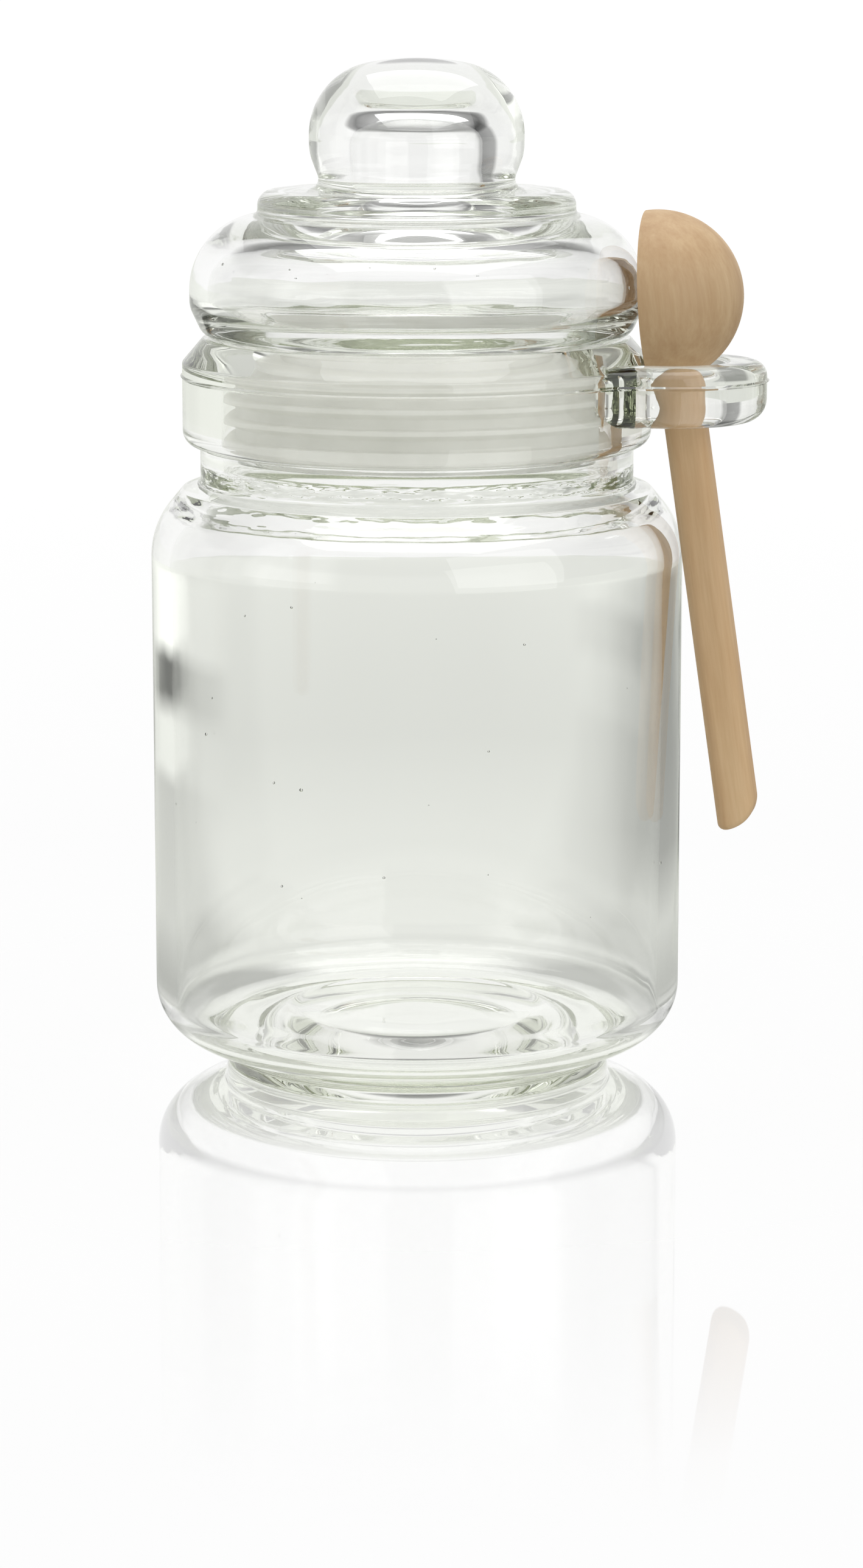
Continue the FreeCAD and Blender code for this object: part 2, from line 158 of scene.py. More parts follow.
# ---- Hollow of the lid, mm ----------------------------------------------------------------------
TIER_WALL = 2.7                # at the side
TIER_FLOOR_WALL = 3.9          # straight up over the cone
ROOF_WALL = 2.9
CREASE_WALL = 2.5
BORE_ROUND = 1.2
TIER_FLOOR_ROUND = 3.0
TIER_HOLLOW_ROUND = 7.5
STEP_HOLLOW_RADIUS = 20.4
STEP_HOLLOW_ROUND = 1.5
KNOB_HOLLOW_RADIUS = 9.6
KNOB_HOLLOW_TOP = 141.0
KNOB_HOLLOW_ROUND = 4.0

# ---- Seal, mm -----------------------------------------------------------------------------------
SEAL_FIT = 0.1                 # round the plug
SEAL_SLEEVE = 1.5
SEAL_CROWN = 1.1
CROWN_ROOT = 1.8
FINS = 4
FIN_PITCH = 3.0
FIN_ROOT = 1.5
FIN_UNDER = 0.8
FIN_ROUND = 0.2
FIN_ROOT_ROUND = 0.25
CROWN_ROOT_ROUND = 0.3

# ---- Spoon, mm ----------------------------------------------------------------------------------
BALL_RADIUS = spoon_high.y
BALL_X = 35.415
BALL_Z = 115.028
RIM_FROM_BACK = 13.6
RIM_TILT = 4.975               # degrees
RIM_BELOW = 1.0                # the rim's flat runs on this far below the ball
SCOOP_RADIUS = 10.2
HANDLE_TILT = 8.275            # degrees
HANDLE_LENGTH = 78.6           # from the ball's middle
HANDLE_OFFSET = 1.7
HANDLE_THICK = 6.1
HANDLE_WIDE = 7.2
HANDLE_SQUARE = 3.2            # power of its cross section, 2 for an ellipse and more for a box
HANDLE_EDGE = 1.0
END_ROUND = 4.4                # radius of the end on the side away from the jar
END_FLAT = 0.9                 # thickness of the end that stays square, on the side of the jar
END_RUN = HANDLE_THICK - 0.85  # thickness over which the end would round off fully
END_FADE = 14.0                # the end's slope runs out this far up the handle
END_DENSE = 6.0                # sections stand closer over this length at the end
ROOT_FLARE = 0.9               # the handle swells this much into the bowl
ROOT_LENGTH = 1.6
ROOT_TOP = 7.0                 # below the ball's middle, where ball and handle start to blend
ROOT_POWER = 12                # how tightly the two blend, more for a sharper joint
OFFSET_START = 6.0             # below the ball's middle, where the handle starts to move outwards
RIM_REACH = 0.02               # corners closer than this merge where the bowl was cut


# ---- Outlines -----------------------------------------------------------------------------------
def arc_corner(before, corner, after, radius, step):
    """Points of the arc that rounds a corner of an outline."""
    into = (before - corner).normalized()
    out = (after - corner).normalized()
    half = into.angle(out) / 2
    reach = radius / math.tan(half)
    start = corner + into * reach
    end = corner + out * reach
    centre = corner + (into + out).normalized() * (radius / math.sin(half))
    turn = math.pi - 2 * half
    count = max(3, math.ceil(radius * turn / step))
    first = start - centre
    last = end - centre
    points = []
    for index in range(count + 1):
        share = index / count
        angle_part = math.sin((1 - share) * turn) * first + math.sin(share * turn) * last
        points.append(centre + angle_part / math.sin(turn))
    return points


def outline(corners, step=0.45, longest=2.0):
    """Dense outline through (r, z) or (r, z, radius) corners."""
    plain = [Vector(corner[:2]) for corner in corners]
    points = [plain[0]]
    for index in range(1, len(corners) - 1):
        radius = corners[index][2] if len(corners[index]) > 2 else 0
        if radius:
            points += arc_corner(plain[index - 1], plain[index], plain[index + 1], radius, step)
        else:
            points.append(plain[index])
    points.append(plain[-1])
    dense = [points[0]]
    for point in points[1:]:
        gap = (point - dense[-1]).length
        if gap < 1e-4:
            continue
        pieces = math.ceil(gap / longest)
        start = dense[-1]
        for part in range(1, pieces + 1):
            dense.append(start.lerp(point, part / pieces))
    return dense


def new_object(name, mesh):
    made = bpy.data.objects.new(name, mesh)
    bpy.context.scene.collection.objects.link(made)
    return made


def from_bmesh(name, work):
    mesh = bpy.data.meshes.new(name)
    work.to_mesh(mesh)
    work.free()
    return new_object(name, mesh)


def turned(name, points, segments=288, closed=False):
    """Turns an outline about Z. It starts and ends on the axis, or is a closed ring."""
    work = bmesh.new()
    rings = []
    for point in points:
        if point.x < 1e-6:
            rings.append([work.verts.new((0, 0, point.y * MM))])
            continue
        ring = []
        for index in range(segments):
            angle = 2 * math.pi * index / segments
            across, deep = point.x * math.cos(angle), point.x * math.sin(angle)
            ring.append(work.verts.new((across * MM, deep * MM, point.y * MM)))
        rings.append(ring)
    pairs = list(zip(rings, rings[1:]))
    if closed:
        pairs.append((rings[-1], rings[0]))
    for first, second in pairs:
        for index in range(segments):
            after = (index + 1) % segments
            if len(first) == 1:
                work.faces.new((first[0], second[index], second[after]))
            elif len(second) == 1:
                work.faces.new((first[index], second[0], first[after]))
            else:
                work.faces.new((first[index], second[index], second[after], first[after]))
    bmesh.ops.recalc_face_normals(work, faces=work.faces)
    return from_bmesh(name, work)


def smooth(obj, degrees=35):
    """Smooth shading that keeps edges sharper than this angle."""
    obj.data.shade_smooth()
    obj.data.set_sharp_from_angle(angle=math.radians(degrees))


# ---- Jar ----------------------------------------------------------------------------------------
def jar_outline():
    foot_inner = FOOT_RADIUS - BEARING_WIDTH
    neck_start = SHOULDER_CORNER + SHOULDER_RISE
    inner = BODY_RADIUS - BODY_WALL
    return outline([
        (0, PUNT_HOLLOW),
        (PUNT_RADIUS / 2, PUNT_HOLLOW, PUNT_HOLLOW_ROUND),
        (foot_inner - RECESS_INSET, FOOT_RECESS, RECESS_ROUND),
        (foot_inner, 0, BEARING_ROUND),
        (FOOT_RADIUS, 0, EDGE_ROUND),
        (FOOT_RADIUS, FOOT_HEIGHT, EDGE_ROUND),
        (BODY_RADIUS, HEEL_CORNER, HEEL_ROUND),
        (BODY_RADIUS, SHOULDER_CORNER, SHOULDER_ROUND),
        (NECK_RADIUS + SHOULDER_LEDGE, neck_start, EDGE_ROUND),
        (NECK_RADIUS, neck_start + NECK_ROOT, EDGE_ROUND),
        (NECK_RADIUS, COLLAR_BOTTOM, NECK_FILLET),
        (COLLAR_RADIUS, COLLAR_BOTTOM, COLLAR_RADIUS - NECK_RADIUS - NECK_FILLET - ROUNDS_APART),
        (COLLAR_RADIUS, SEAM_HEIGHT - SEAM_HALF),
        (COLLAR_RADIUS + SEAM_PROUD, SEAM_HEIGHT, SEAM_ROUND),
        (COLLAR_RADIUS, SEAM_HEIGHT + SEAM_HALF),
        (COLLAR_RADIUS, COLLAR_TOP, EDGE_ROUND),
        (LIP_RADIUS + EDGE_ROUND, LIP_HEIGHT, SMALL_ROUND),
        (LIP_RADIUS, LIP_HEIGHT, LIP_ROUND),
        (MOUTH_RADIUS, LIP_HEIGHT - (LIP_RADIUS - MOUTH_RADIUS) * LIP_SLOPE, SMALL_ROUND),
        (MOUTH_RADIUS, neck_start, NECK_INSIDE_ROUND),
        (inner, SHOULDER_INSIDE, SHOULDER_ROUND - BODY_WALL),
        (inner, FLOOR_HEIGHT, FLOOR_ROUND),
        *((radius, FLOOR_HEIGHT + rise, rounding) for radius, rise, rounding in FLOOR_RINGS),
        (0, FLOOR_HEIGHT + PUNT_TOP),
    ])


def ways(first, last, steps, skip=0):
    """Unit vectors at even steps from one angle to another."""
    for index in range(skip, steps + 1):
        angle = first + (last - first) * index / steps
        yield Vector((math.cos(angle), math.sin(angle)))


def with_mirrored(walls):
    """The walls, then all but the last again on the other side of the loop's middle."""
    flip = Matrix.Diagonal((1, -1))
    other = [(flip @ place, flip @ way, kind) for place, way, kind in reversed(walls[:-1])]
    return walls + other


def loop_walls():
    """(place, way out, inset kind) round the loop's U, as seen from above."""
    end_radius = SLOT_HALF + LOOP_BAND
    centre = LOOP_REACH - end_radius
    from_axis = COLLAR_RADIUS + LOOP_FLARE
    from_end = end_radius + LOOP_FLARE
    flare_x = (from_axis ** 2 - from_end ** 2 + centre ** 2) / (2 * centre)
    flare_y = math.sqrt(from_axis ** 2 - flare_x ** 2)
    start = math.atan2(-flare_y, -flare_x)
    finish = math.atan2(-flare_y, centre - flare_x)
    outer = [(Vector((flare_x, flare_y)) + way * LOOP_FLARE, -way, "outer")
             for way in ways(start, finish, 24)]
    side = math.atan2(flare_y, flare_x - centre)
    outer += [(Vector((centre, 0)) + way * end_radius, way, "outer")
              for way in ways(side, 0, 96, skip=1)]
    corner = math.atan2(outer[0][0].y, outer[0][0].x)
    slot_corner = math.asin(SLOT_HALF / LOOP_IN_WALL)
    inner = [(way * LOOP_IN_WALL, -way, "inside") for way in ways(-corner, -slot_corner, 8)]
    mouth_x = LOOP_IN_WALL * math.cos(slot_corner)
    for index in range(1, 9):
        x = mouth_x + (centre - mouth_x) * index / 8
        inner.append((Vector((x, -SLOT_HALF)), Vector((0, 1)), "slot"))
    inner += [(Vector((centre, 0)) + way * SLOT_HALF, -way, "slot")
              for way in ways(-math.pi / 2, 0, 48, skip=1)]
    return with_mirrored(outer) + with_mirrored(inner)


def wall_levels(kind):
    """(inset, height) up the loop's wall, with as many levels for each kind of wall."""
    rounds = {"outer": (LOOP_BOTTOM_ROUND, LOOP_TOP_ROUND), "slot": (SLOT_ROUND, SLOT_ROUND)}
    low, high = rounds.get(kind, (0, 0))
    seam = SEAM_PROUD if kind == "outer" else 0
    levels = []
    for index in range(11):
        angle = math.pi / 2 * index / 10
        levels.append((low * (1 - math.sin(angle)), LOOP_BOTTOM + low * (1 - math.cos(angle))))
    levels.append((0, SEAM_HEIGHT - SEAM_HALF))
    levels.append((-seam, SEAM_HEIGHT - SEAM_FLAT))
    levels.append((-seam, SEAM_HEIGHT + SEAM_FLAT))
    levels.append((0, SEAM_HEIGHT + SEAM_HALF))
    for index in range(9):
        angle = math.pi / 2 * index / 8
        levels.append((high * (1 - math.cos(angle)), LOOP_TOP - high * (1 - math.sin(angle))))
    return levels


def spoon_loop():
    """The loop as a closed mesh of its own, with its inner end in the collar's glass."""
    work = bmesh.new()
    columns = []
    for place, way, kind in loop_walls():
        column = []
        for index, (inset, height) in enumerate(wall_levels(kind)):
            spot = place - way * inset
            level = LOOP_BOTTOM if kind == "inside" and index == 0 else height
            column.append(work.verts.new((spot.x * MM, spot.y * MM, level * MM)))
        columns.append(column)
    for first, second in zip(columns, columns[1:] + columns[:1]):
        for level in range(len(first) - 1):
            work.faces.new((first[level], second[level], second[level + 1], first[level + 1]))
    for end in (0, -1):
        rim = [column[end] for column in columns]
        work.faces.new(rim if end == 0 else rim[::-1])
    bmesh.ops.remove_doubles(work, verts=work.verts, dist=1e-7)
    bmesh.ops.triangulate(work, faces=[face for face in work.faces if len(face.verts) > 4])
    bmesh.ops.recalc_face_normals(work, faces=work.faces)
    return from_bmesh("spoon_loop", work)


def mend_cuts(mesh, reach):
    """Merges corners that a cut left all but together, and takes out faces folded on themselves."""
    work = bmesh.new()
    work.from_mesh(mesh)
    bmesh.ops.remove_doubles(work, verts=work.verts, dist=reach)
    bmesh.ops.triangulate(work, faces=work.faces)
    bmesh.ops.dissolve_degenerate(work, edges=work.edges, dist=reach / 4)
    bmesh.ops.triangulate(work, faces=work.faces)
    by_corners = {}
    for face in work.faces:
        by_corners.setdefault(frozenset(face.verts), []).append(face)
    doubled = [face for same in by_corners.values() if len(same) > 1 for face in same]
    bmesh.ops.delete(work, geom=doubled, context="FACES")
    work.to_mesh(mesh)
    work.free()


def combined(obj, tool, operation):
    """Exact union or difference of two closed meshes, kept on the first."""
    modifier = obj.modifiers.new("combine", "BOOLEAN")
    modifier.operation = operation
    modifier.solver = "EXACT"
    modifier.object = tool
    graph = bpy.context.evaluated_depsgraph_get()
    mesh = bpy.data.meshes.new_from_object(obj.evaluated_get(graph))
    obj.modifiers.clear()
    old = obj.data
    obj.data = mesh
    mesh.name = obj.name
    bpy.data.meshes.remove(old)
    bpy.data.objects.remove(tool)


# ---- Lid ----------------------------------------------------------------------------------------
def lid_underside(radius):
    """Height of the lid's cone, which lies over the cone of the lip."""
    over_lip = SEAT_GAP / math.cos(math.atan(LIP_SLOPE))
    return LIP_HEIGHT + over_lip + (radius - LIP_RADIUS) * LIP_SLOPE


def knob_crown():
    """Outline of the knob from the crown down to its widest circle."""
    side = KNOB_SIDE_ROUND
    rise = LID_TOP - KNOB_MIDDLE
    side_x = KNOB_RADIUS - side
    crown = (side_x ** 2 + rise ** 2 - side ** 2) / (2 * (rise - side))
    centre_z = LID_TOP - crown
    meet = math.atan2(side_x, KNOB_MIDDLE - centre_z)
    points = []
    for index in range(19):
        angle = meet * index / 18
        points.append(Vector((crown * math.sin(angle), centre_z + crown * math.cos(angle))))
    for index in range(1, 41):
        angle = meet + (math.pi / 2 - meet) * index / 40
        turn = Vector((math.sin(angle), math.cos(angle)))
        points.append(Vector((side_x, KNOB_MIDDLE)) + side * turn)
    return points


def lid_outline():
    plug_hollow = PLUG_RADIUS - PLUG_WALL
    tier_hollow = TIER_RADIUS - TIER_WALL
    bead = PLUG_RADIUS + PLUG_BEAD
    below = outline([
        (KNOB_RADIUS, KNOB_MIDDLE),
        (KNOB_RADIUS, KNOB_UNDER, KNOB_UNDER_ROUND),
        (WAIST_RADIUS, WAIST_HEIGHT, WAIST_ROUND),
        (STEP_RADIUS, STEP_HEIGHT, STEP_ROUND),
        (STEP_RADIUS, CREASE_HEIGHT, EDGE_ROUND),
        (TIER_RADIUS, TIER_HIGH, TIER_TOP_ROUND),
        (TIER_RADIUS, TIER_LOW, TIER_SIDE_ROUND),
        (TIER_UNDER, lid_underside(TIER_UNDER), TIER_UNDER_ROUND),
        (PLUG_RADIUS, lid_underside(PLUG_RADIUS)),
        (PLUG_RADIUS, PLUG_BOTTOM + PLUG_BEAD_HEIGHT),
        (bead, PLUG_BOTTOM + PLUG_BEAD_HEIGHT, PLUG_ROUND),
        (bead, PLUG_BOTTOM, PLUG_ROUND),
        (plug_hollow, PLUG_BOTTOM, PLUG_ROUND),
        (plug_hollow, lid_underside(plug_hollow) + TIER_FLOOR_WALL, BORE_ROUND),
        (tier_hollow, lid_underside(tier_hollow) + TIER_FLOOR_WALL, TIER_FLOOR_ROUND),
        (tier_hollow, TIER_HIGH - ROOF_WALL, TIER_HOLLOW_ROUND),
        (STEP_HOLLOW_RADIUS, CREASE_HEIGHT - CREASE_WALL, EDGE_ROUND),
        (STEP_HOLLOW_RADIUS, STEP_HEIGHT - ROOF_WALL, STEP_HOLLOW_ROUND),
        (KNOB_HOLLOW_RADIUS, WAIST_HEIGHT - ROOF_WALL, BORE_ROUND),
        (KNOB_HOLLOW_RADIUS, KNOB_HOLLOW_TOP, KNOB_HOLLOW_ROUND),
        (0, KNOB_HOLLOW_TOP),
    ])
    return knob_crown() + below[1:]


# ---- Seal ---------------------------------------------------------------------------------------
def seal_outline():
    bore = PLUG_RADIUS + SEAL_FIT
    sleeve = bore + SEAL_SLEEVE
    fin = seal_high.y
    crown = lid_underside(fin) - SEAT_GAP
    bottom = seal_low.z
    corners = [
        (bore, bottom),
        (bore, lid_underside(bore) - SEAT_GAP),
        (fin, crown, FIN_ROUND),
        (fin, crown - SEAL_CROWN, FIN_ROUND),
        (sleeve, crown - CROWN_ROOT, CROWN_ROOT_ROUND),
    ]
    for number in range(FINS - 1, -1, -1):
        foot = bottom + FIN_PITCH * number
        corners += [
            (sleeve, foot + FIN_ROOT, FIN_ROOT_ROUND),
            (fin, foot + FIN_ROOT, FIN_ROUND),
            (fin, foot + FIN_UNDER, FIN_ROUND),
            (sleeve, foot, FIN_ROOT_ROUND if number else 0),
        ]
    return outline(corners, step=0.15)


# ---- Spoon --------------------------------------------------------------------------------------
def end_slope(x):
    """How much shorter the handle is at this x, from its inner edge to its rounded outer edge."""
    share = (x + HANDLE_THICK / 2 - END_FLAT) / END_RUN
    return END_ROUND * (1 - math.sqrt(1 - min(1, max(0, share)) ** 2))


def handle_reach(x_way, y_way, height):
    """Radius of the handle's rounded bar that way, with its flare under the bowl."""
    thick, wide = HANDLE_THICK / 2, HANDLE_WIDE / 2
    power = HANDLE_SQUARE
    bar = (abs(x_way / thick) ** power + abs(y_way / wide) ** power) ** (-1 / power)
    to_end = HANDLE_LENGTH + height
    if to_end < HANDLE_EDGE:
        bar -= HANDLE_EDGE * (1 - math.sqrt(1 - (1 - to_end / HANDLE_EDGE) ** 2))
    return bar + ROOT_FLARE * math.exp(-max(0, -height - BALL_RADIUS) / ROOT_LENGTH)


def spoon_sections():
    """(height, shrink) of the cross sections, down the ball and the handle and across its end."""
    end = -HANDLE_LENGTH
    heights = [BALL_RADIUS * math.cos(math.pi * index / 60) for index in range(1, 54)]
    start, close = heights[-1], end + END_DENSE
    heights += [start + (close - start) * index / 60 for index in range(1, 61)]
    heights += [end + END_DENSE * (1 - math.sin(math.pi / 2 * index / 16))
                for index in range(1, 17)]
    across_end = [(end, 1 - index / 12) for index in range(1, 12)]
    return [(height, 1.0) for height in heights] + across_end


def skin_reach(x_way, y_way, height, centre):
    """Radius of the skin that way from the section's centre: ball, handle or their blend."""
    ball = math.sqrt(max(0, BALL_RADIUS ** 2 - height ** 2))
    if height >= -ROOT_TOP:
        return ball
    from_ball = 0
    if ball:
        from_ball = math.sqrt(max(0, ball ** 2 - (centre * y_way) ** 2)) - centre * x_way
    bar = handle_reach(x_way, y_way, height)
    return (bar ** ROOT_POWER + max(0, from_ball) ** ROOT_POWER) ** (1 / ROOT_POWER)


def spoon_blank():
    """Ball, root and handle as one skin of cross sections, in the spoon's own frame."""
    work = bmesh.new()
    around = 96
    end = -HANDLE_LENGTH
    rings = []
    top = work.verts.new((0, 0, BALL_RADIUS * MM))
    for height, shrink in spoon_sections():
        centre = 0
        if height < -ROOT_TOP:
            centre = HANDLE_OFFSET * min(1, (-height - OFFSET_START) / OFFSET_START)
        ring = []
        for index in range(around):
            angle = 2 * math.pi * index / around
            x_way, y_way = math.cos(angle), math.sin(angle)
            reach = skin_reach(x_way, y_way, height, centre) * shrink
            level = height + end_slope(reach * x_way) * max(0, 1 - (height - end) / END_FADE)
            across = centre + reach * x_way
            ring.append(work.verts.new((across * MM, reach * y_way * MM, level * MM)))
        rings.append(ring)
    bottom = work.verts.new((HANDLE_OFFSET * MM, 0, (end + end_slope(0)) * MM))
    for index in range(around):
        after = (index + 1) % around
        work.faces.new((top, rings[0][index], rings[0][after]))
        work.faces.new((bottom, rings[-1][after], rings[-1][index]))
        for first, second in zip(rings, rings[1:]):
            work.faces.new((first[index], second[index], second[after], first[after]))
    bmesh.ops.recalc_face_normals(work, faces=work.faces)
    return from_bmesh("spoon_wood", work)


def wooden_spoon():
    """The blank with the ball cut at the rim and hollowed, stood in the loop."""
    spoon = spoon_blank()
    rim = Matrix.Rotation(math.radians(RIM_TILT), 4, "Y")
    inset = RIM_FROM_BACK - BALL_RADIUS
    half = 2 * BALL_RADIUS
    block = bmesh.new()
    bmesh.ops.create_cube(block, size=2 * half * MM)
    middle = half - BALL_RADIUS - RIM_BELOW
    block.transform(rim @ Matrix.Translation(((-half - inset) * MM, 0, middle * MM)))
    combined(spoon, from_bmesh("beyond_rim", block), "DIFFERENCE")
    scoop = bmesh.new()
    bmesh.ops.create_uvsphere(scoop, u_segments=96, v_segments=48, radius=SCOOP_RADIUS * MM)
    scoop.transform(rim @ Matrix.Translation((-inset * MM, 0, 0)))
    combined(spoon, from_bmesh("scoop", scoop), "DIFFERENCE")
    stand = Matrix.Translation((BALL_X * MM, 0, BALL_Z * MM))
    spoon.data.transform(stand @ Matrix.Rotation(math.radians(-HANDLE_TILT), 4, "Y"))
    mend_cuts(spoon.data, RIM_REACH * MM)
    smooth(spoon, 40)
    return spoon


# ---- Seeds --------------------------------------------------------------------------------------
SMALLEST_SEED = 0.08           # radii, mm
LARGEST_SEED = 0.28


def seeds_tree():
    """Points at random on a surface inside the wall, and a small round bubble on each."""
    tree = bpy.data.node_groups.new("glass_seeds", "GeometryNodeTree")
    sockets = {}
    for name, kind in (("Wall", "Geometry"), ("Per square metre", "Float"), ("Smallest", "Float"),
                       ("Largest", "Float"), ("Seed", "Int"), ("Glass", "Material")):
        made = tree.interface.new_socket(name, in_out="INPUT", socket_type="NodeSocket" + kind)
        sockets[name] = made.identifier
    tree.interface.new_socket("Bubbles", in_out="OUTPUT", socket_type="NodeSocketGeometry")
    given = add_node(tree, "NodeGroupInput").outputs
    points = add_node(tree, "GeometryNodeDistributePointsOnFaces",
                      {"Mesh": given["Wall"], "Density": given["Per square metre"],
                       "Seed": given["Seed"]})
    bubble = add_node(tree, "GeometryNodeMeshIcoSphere", {"Radius": 1.0, "Subdivisions": 2})
    size = add_node(tree, "FunctionNodeRandomValue",
                    {2: given["Smallest"], 3: given["Largest"], 8: given["Seed"]},
                    data_type="FLOAT")
    placed = add_node(tree, "GeometryNodeInstanceOnPoints",
                      {"Points": points.outputs["Points"], "Instance": bubble.outputs["Mesh"],
                       "Scale": size.outputs[1]})
    real = add_node(tree, "GeometryNodeRealizeInstances", {0: placed.outputs[0]})
    smooth_skin = add_node(tree, "GeometryNodeSetShadeSmooth", {0: real.outputs[0]})
    hollow = add_node(tree, "GeometryNodeFlipFaces", {0: smooth_skin.outputs[0]})
    filled = add_node(tree, "GeometryNodeSetMaterial",
                      {0: hollow.outputs[0], "Material": given["Glass"]})
    add_node(tree, "NodeGroupOutput", {0: filled.outputs[0]})
    return tree, sockets


def add_seeds(piece, middle, seeds, seed, per_square_metre):
    """Air bubbles left in the glass, inside the wall of the piece, along the line of its middle."""
    wall = turned("seeds_" + piece.name, outline(middle))
    tree, sockets = seeds
    grow = wall.modifiers.new("seeds", "NODES")
    grow.node_group = tree
    for name, value in (("Per square metre", per_square_metre), ("Smallest", SMALLEST_SEED * MM),
                        ("Largest", LARGEST_SEED * MM), ("Seed", seed),
                        ("Glass", piece.data.materials[0])):
        grow[sockets[name]] = value
    graph = bpy.context.evaluated_depsgraph_get()
    bubbles = bpy.data.meshes.new_from_object(wall.evaluated_get(graph))
    wall.modifiers.clear()
    work = bmesh.new()
    work.from_mesh(piece.data)
    work.from_mesh(bubbles)
    work.to_mesh(piece.data)
    work.free()
    bpy.data.meshes.remove(bubbles)
    bpy.data.objects.remove(wall)


# ---- Materials ----------------------------------------------------------------------------------
def hex_colour(code):
    """sRGB hex to the linear colour that the shader wants."""
    parts = [int(code[index:index + 2], 16) / 255 for index in (0, 2, 4)]
    return (*(part / 12.92 if part <= 0.04045 else ((part + 0.055) / 1.055) ** 2.4
              for part in parts), 1)


def add_node(tree, kind, inputs=None, stops=(), **settings):
    """Adds a node with its settings. Each input gets a link from a socket, or a value.

    stops are the (position, colour) pairs of a colour ramp.
    """
    made = tree.nodes.new(kind)
    for name, value in settings.items():
        setattr(made, name, value)
    for index, (position, colour) in enumerate(stops):
        elements = made.color_ramp.elements
        stop = elements[index] if index < 2 else elements.new(position)
        stop.position = position
        stop.color = colour
    for name, value in (inputs or {}).items():
        if isinstance(value, bpy.types.NodeSocket):
            tree.links.new(value, made.inputs[name])
        else:
            made.inputs[name].default_value = value
    return made


def new_material(name):
    material = bpy.data.materials.new(name)
    material.use_nodes = True
    material.node_tree.nodes.clear()
    return material, material.node_tree


def pressed_glass(name, body_colour, per_metre, ripple, rough_bands):
    """Soda-lime glass, fire polished: clear, greener where it is thick, with soft mould ripples.

    ripple is (mm round, mm up, mm high). rough_bands are (height, half width, grain, mm high)
    rings where the mould's joints leave the skin wavy, which breaks light into drawn-out sparks.
    """
    material, tree = new_material(name)
    place = add_node(tree, "ShaderNodeTexCoord").outputs["Object"]
    round_mm, up_mm, ripple_high = ripple
    rate = (1 / (round_mm * MM), 1 / (round_mm * MM), 1 / (up_mm * MM))
    stretched = add_node(tree, "ShaderNodeMapping", {"Vector": place, "Scale": rate})
    waves = add_node(tree, "ShaderNodeTexNoise",
                     {"Vector": stretched.outputs[0], "Scale": 1.0, "Detail": 2.0,
                      "Roughness": 0.4})
    height = add_node(tree, "ShaderNodeMath", {0: waves.outputs[0], 1: ripple_high},
                      operation="MULTIPLY")
    level = add_node(tree, "ShaderNodeSeparateXYZ", {0: place}).outputs["Z"]
    drawn_out = add_node(tree, "ShaderNodeMapping", {"Vector": place, "Scale": (0.25, 0.25, 1)})
    for middle, half, grain, band_high in rough_bands:
        away = add_node(tree, "ShaderNodeMath", {0: level, 1: middle * MM}, operation="SUBTRACT")
        away = add_node(tree, "ShaderNodeMath", {0: away.outputs[0]}, operation="ABSOLUTE")
        inside = add_node(tree, "ShaderNodeMapRange",
                          {"Value": away.outputs[0], "From Min": 0.0, "From Max": half * MM,
                           "To Min": band_high, "To Max": 0.0}, interpolation_type="SMOOTHSTEP")
        grains = add_node(tree, "ShaderNodeTexNoise",
                          {"Vector": drawn_out.outputs[0], "Scale": 1 / (grain * MM),
                           "Detail": 1.5})
        height = add_node(tree, "ShaderNodeMath",
                          {0: inside.outputs[0], 1: grains.outputs[0], 2: height.outputs[0]},
                          operation="MULTIPLY_ADD")
    bump = add_node(tree, "ShaderNodeBump",
                    {"Height": height.outputs[0], "Strength": 1.0, "Distance": MM})
    glass = add_node(tree, "ShaderNodeBsdfPrincipled",
                     {"Normal": bump.outputs[0], "Base Color": hex_colour("FFFFFF"),
                      "Roughness": 0.0, "IOR": 1.52, "Transmission Weight": 1.0})
    clear = add_node(tree, "ShaderNodeBsdfTransparent", {"Color": hex_colour("FDFDFD")})
    shadow = add_node(tree, "ShaderNodeLightPath").outputs["Is Shadow Ray"]
    skin = add_node(tree, "ShaderNodeMixShader",
                    {0: shadow, 1: glass.outputs[0], 2: clear.outputs[0]})
    body = add_node(tree, "ShaderNodeVolumeAbsorption",
                    {"Color": hex_colour(body_colour), "Density": per_metre})
    add_node(tree, "ShaderNodeOutputMaterial",
             {"Surface": skin.outputs[0], "Volume": body.outputs[0]})
    return material


def milky_seal():
    """Soft polyethylene, moulded: milky, lets light through, with a dull skin."""
    material, tree = new_material("polyethylene_moulded_milky")
    place = add_node(tree, "ShaderNodeTexCoord").outputs["Object"]
    cloud = add_node(tree, "ShaderNodeTexNoise",
                     {"Vector": place, "Scale": 1 / (6 * MM), "Detail": 3.0})
    colour = add_node(tree, "ShaderNodeValToRGB", {"Fac": cloud.outputs[0]},
                      stops=[(0.3, hex_colour("F2F2EE")), (0.7, hex_colour("FAFAF7"))])
    colour = colour.outputs["Color"]
    fine = add_node(tree, "ShaderNodeTexNoise",
                    {"Vector": place, "Scale": 1 / (0.5 * MM), "Detail": 2.0})
    bump = add_node(tree, "ShaderNodeBump",
                    {"Height": fine.outputs[0], "Strength": 0.3, "Distance": 0.02 * MM})
    skin = add_node(tree, "ShaderNodeBsdfPrincipled",
                    {"Base Color": colour, "Normal": bump.outputs[0], "Roughness": 0.45,
                     "IOR": 1.5})
    through = add_node(tree, "ShaderNodeBsdfTranslucent", {"Color": colour})
    mix = add_node(tree, "ShaderNodeMixShader", {0: 0.5, 1: skin.outputs[0], 2: through.outputs[0]})
    add_node(tree, "ShaderNodeOutputMaterial", {"Surface": mix.outputs[0]})
    return material


